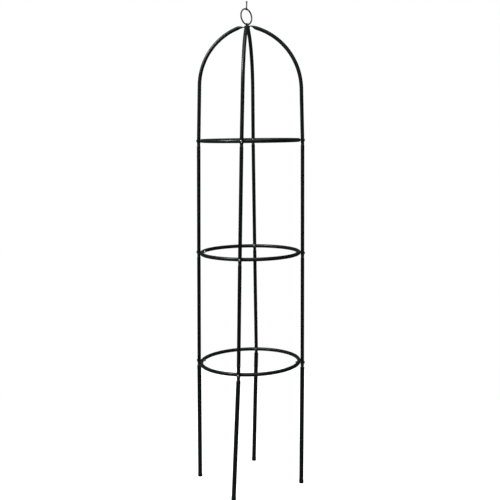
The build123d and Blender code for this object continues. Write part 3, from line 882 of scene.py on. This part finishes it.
nut = Shells()
nz = wz - apex_nut_h
hx = hexagon(apex_nut_af, 0.06)
prof, wear_and_shade = [], []
for h in (0.0, 0.08, 0.18, 0.3, 0.45, 0.62, apex_nut_h - 0.62, apex_nut_h - 0.45, apex_nut_h - 0.3, apex_nut_h - 0.18, apex_nut_h - 0.08, apex_nut_h):
    lim = apex_nut_af / 2 * 0.955 + min(h, apex_nut_h - h) * 1.73
    prof.append((nz + h, limited(hx, lim)))
    wear_and_shade.append(0.0)
bore = eye_screw_d / 2 + 0.02
# high per-vertex values inside the bore: painted shade in the zinc material
prof += [(nz + apex_nut_h, bore + 0.5), (nz + apex_nut_h - 0.5, bore), (nz + apex_nut_h / 2, bore), (nz + 0.5, bore), (nz, bore + 0.5)]
wear_and_shade += [0.2, 0.8, 1, 0.8, 0.2]
nut.grid(lathe_rows(prof, hub, Z, 60, roll=0.35), closed=True, wear_and_shade=np.array(wear_and_shade))
make("apex_nut_zinc", nut, ["apex_nut"], FRAME_BODY, MAT_ZINC, 28)

# ---------------------------------------------------------------------------
# Hanging ring: wire bent to a circle and butt-welded; hanger link on its top
# ---------------------------------------------------------------------------
ring = Shells()
n_turn, seg = 260, 28
ring_n = np.cross(ring_axis, ring_up)
th = np.arange(seg) * 2 * math.pi / seg
rows, wear_and_shade = [], []
weld_at = math.radians(118)          # from the top, on the far side of the link
for i in range(n_turn):
    a = 2 * math.pi * i / n_turn
    out = ring_up * math.cos(a) + ring_axis * math.sin(a)
    off = ((a - weld_at + math.pi) % (2 * math.pi) - math.pi) * ring_r
    bump = 0.20 * math.exp(-((off / 1.5) ** 2)) + 0.02 * math.sin(9 * a)
    r = ring_wire_d / 2 + bump * (1 + 0.35 * np.sin(5 * th + 0.9 * off) * (abs(off) < 4))
    r = np.minimum(np.broadcast_to(r, (seg,)), ring_wire_d / 2 + 0.26)
    rows.append(ring_centre + out * ring_r + r[:, None] * (np.cos(th)[:, None] * out + np.sin(th)[:, None] * ring_n))
    low_wear = 0.7 * math.exp(-((((a - math.pi) * ring_r) / 5.0) ** 2))
    wear_and_shade.append(np.full(seg, max(low_wear, 0.4 * math.exp(-((off / 1.6) ** 2)))))
ring.grid(np.array(rows), closed=True, wear_and_shade=np.array(wear_and_shade))
make("hanging_ring_wire", ring, ["hanging_ring"], RING_BODY, MAT_WIRE)

shaft = Shells()
r0 = link_d / 2
prof = [(link_eye_r + 0.6, r0 + 0.5), (link_eye_r + 1.6, r0 + 0.12), (link_eye_r + 3.0, r0), (link_len - link_tip_len - 0.4, r0),
        (link_len - link_tip_len + 0.6, r0 + 0.12), (link_len - link_tip_len + 1.8, link_tip_d / 2 - 0.05),
        (link_len - link_tip_len + 2.6, link_tip_d / 2), (link_len - link_tip_d / 2 - 0.1, link_tip_d / 2)]
for q in np.linspace(8, 84, 9):
    prof.append((link_len - link_tip_d / 2 + link_tip_d / 2 * math.sin(math.radians(q)), link_tip_d / 2 * math.cos(math.radians(q))))
shaft.grid(lathe_rows(prof, link_pt, link_dir, 40))
link_obj = raw("link_body", shaft)
loop = Shells()
half = link_eye_t / 2
prof = [(-half, link_eye_r)] + [(x * half, link_eye_r + link_eye_wall * (1 - abs(x) ** 2.4) + 0.25 * abs(x) ** 2.4) for x in np.linspace(-0.97, 0.97, 19)] + [(half, link_eye_r)]
loop.grid(lathe_rows(prof, link_pt, link_tangent, 56, hint=(0, 0, 1)))
combine(link_obj, raw("link_loop", loop), "UNION")
bore = Shells()
prof = [(x, link_eye_r + 0.35 * (abs(x) / 1.3) ** 3) for x in np.linspace(-1.9, 1.9, 15)]
bore.grid(lathe_rows(prof, link_pt, link_tangent, 56, hint=(0, 0, 1)))
combine(link_obj, raw("link_bore", bore), "DIFFERENCE")
forge(link_obj, 0.15, 4)
link_obj.name = "hanger_link_wire"
attribute = link_obj.data.attributes.new("wear_and_shade", "FLOAT", "POINT")
co = np.array([v.co for v in link_obj.data.vertices]) / MM
near = np.exp(-(((np.linalg.norm(co - link_pt, axis=1) - link_eye_r) / 0.9) ** 2)) * 0.6
attribute.data.foreach_set("value", near.astype(np.float32))
finish_piece(link_obj, ["hanger_link"], LINK_BODY, MAT_WIRE, 50)

# ---------------------------------------------------------------------------
# Foot caps: moulded cups with a bead round the mouth, flat on the ground
# ---------------------------------------------------------------------------
for s in SIDES:
    d = axis_dir[3, s]
    R = cap_d / 2
    r_in = foot_d / 2 + 0.05
    prof = [(-0.4, 1.5), (-0.4, R - 2.3), (-0.33, R - 1.7), (-0.1, R - 1.05), (0.35, R - 0.5), (0.9, R - 0.2), (1.6, R - 0.06), (2.2, R - 0.04)]
    prof += [(h, R - 0.04 - 0.010 * (h - 2.2)) for h in np.linspace(3.2, cap_h - 3.4, 8)]
    prof += [(cap_h - 3.0, R - 0.17), (cap_h - 2.85, R - 0.28), (cap_h - 2.65, R - 0.28), (cap_h - 2.5, R - 0.08),
             (cap_h - 2.1, R - 0.01), (cap_h - 1.3, R - 0.01), (cap_h - 0.7, R - 0.05), (cap_h - 0.25, R - 0.18), (cap_h - 0.02, R - 0.40),
             (cap_h, r_in + 0.08), (cap_h - 0.15, r_in), (cap_h - 3, r_in), (cap_floor + 1.0, r_in), (cap_floor, r_in - 0.4), (cap_floor, 1.5)]
    wear_and_shade = [0.9, 0.9, 0.9, 0.8, 0.6, 0.4, 0.2, 0.1] + [0.05] * 8 + [0, 0, 0, 0.1, 0.25, 0.3, 0.35, 0.4, 0.3, 0, 0, 0, 0, 0, 0]
    rows = lathe_rows(prof, foot_pt[s], d, 64)
    rows[:, :, 2] = np.maximum(rows[:, :, 2], 0.0)
    cap = Shells()
    cap.grid(rows, wear_and_shade=np.array(wear_and_shade))
    make(f"foot_cap_{s}_moulded", cap, [f"foot_cap_{s}"], FRAME_BODY, MAT_CAP, 50)

# ---------------------------------------------------------------------------
# Stage, light, camera
# ---------------------------------------------------------------------------
floor_mesh = bpy.data.meshes.new("floor")
E = 1.7
disc = [(E * math.cos(i * math.pi / 48), E * math.sin(i * math.pi / 48), 0) for i in range(96)]
floor_mesh.from_pydata(disc, [], [tuple(range(96))])
floor = bpy.data.objects.new("floor", floor_mesh)
bpy.context.scene.collection.objects.link(floor)
floor.location.z = -0.0002
# the floor burns out to white in the picture but throws little light back up
fm = bpy.data.materials.new("floor_pale")
fm.use_nodes = True
ft = fm.node_tree
ft.nodes.clear()
f_out = ft.nodes.new("ShaderNodeOutputMaterial")
f_mix = ft.nodes.new("ShaderNodeMixShader")
f_path = ft.nodes.new("ShaderNodeLightPath")
f_dim = ft.nodes.new("ShaderNodeBsdfDiffuse")
f_dim.inputs["Color"].default_value = (0.20, 0.20, 0.20, 1)
f_add = ft.nodes.new("ShaderNodeAddShader")
f_pale = ft.nodes.new("ShaderNodeBsdfDiffuse")
f_pale.inputs["Color"].default_value = (0.90, 0.90, 0.90, 1)
f_lift = ft.nodes.new("ShaderNodeEmission")
f_lift.inputs["Strength"].default_value = 0.80
ft.links.new(f_pale.outputs[0], f_add.inputs[0])
ft.links.new(f_lift.outputs[0], f_add.inputs[1])
ft.links.new(f_path.outputs["Is Camera Ray"], f_mix.inputs[0])
ft.links.new(f_dim.outputs[0], f_mix.inputs[1])
ft.links.new(f_add.outputs[0], f_mix.inputs[2])
ft.links.new(f_mix.outputs[0], f_out.inputs[0])
floor_mesh.materials.append(fm)

world = bpy.data.worlds.new("studio")
bpy.context.scene.world = world
world.use_nodes = True
wt = world.node_tree
wt.nodes.clear()
w_out = wt.nodes.new("ShaderNodeOutputWorld")
w_mix = wt.nodes.new("ShaderNodeMixShader")
w_path = wt.nodes.new("ShaderNodeLightPath")
w_cam = wt.nodes.new("ShaderNodeBackground")
w_cam.inputs[0].default_value = (1, 1, 1, 1)
w_cam.inputs[1].default_value = 1.0
w_amb = wt.nodes.new("ShaderNodeBackground")
w_amb.inputs[0].default_value = (0.94, 1.0, 1.0, 1)
w_amb.inputs[1].default_value = 0.085
wt.links.new(w_path.outputs["Is Camera Ray"], w_mix.inputs[0])
wt.links.new(w_amb.outputs[0], w_mix.inputs[1])
wt.links.new(w_cam.outputs[0], w_mix.inputs[2])
wt.links.new(w_mix.outputs[0], w_out.inputs[0])


def sun(name, energy, direction, angle):
    data = bpy.data.lights.new(name, "SUN")
    data.energy, data.angle = energy, math.radians(angle)
    o = bpy.data.objects.new(name, data)
    bpy.context.scene.collection.objects.link(o)
    from mathutils import Vector
    o.rotation_euler = Vector(direction).to_track_quat("-Z", "Y").to_euler()
    return o


def softbox(name, location, target, size, power):
    from mathutils import Vector
    data = bpy.data.lights.new(name, "AREA")
    data.shape, data.size, data.size_y, data.energy = "RECTANGLE", size[0], size[1], power
    o = bpy.data.objects.new(name, data)
    bpy.context.scene.collection.objects.link(o)
    o.location = location
    o.rotation_euler = (Vector(target) - Vector(location)).to_track_quat("-Z", "Y").to_euler()
    return o


sun("overhead", 1.5, (0.12, 0.30, -1.0), 60)
softbox("key", (-1.30, -1.05, 2.65), (0, -0.1, 1.68), (0.55, 0.55), 44)
softbox("fill", (0.9, -3.6, 2.6), (0, 0, 1.5), (1.6, 0.9), 9)

cam_data = bpy.data.cameras.new("camera")
cam = bpy.data.objects.new("camera", cam_data)
bpy.context.scene.collection.objects.link(cam)
cam_data.sensor_width = 36.0
cam_data.lens = 877.34 / 500 * 36.0
cam_data.clip_start, cam_data.clip_end = 0.05, 60
turn = math.radians(8.0)
yaw = 0.00028
cam.location = (3.4386 * math.sin(turn), -3.4386 * math.cos(turn), 1.4315)
cam.rotation_euler = (math.pi / 2 - 0.1389, 0.0, turn + yaw)
bpy.context.scene.camera = cam
bpy.context.scene.view_settings.view_transform = "Standard"
bpy.context.scene.view_settings.look = "None"
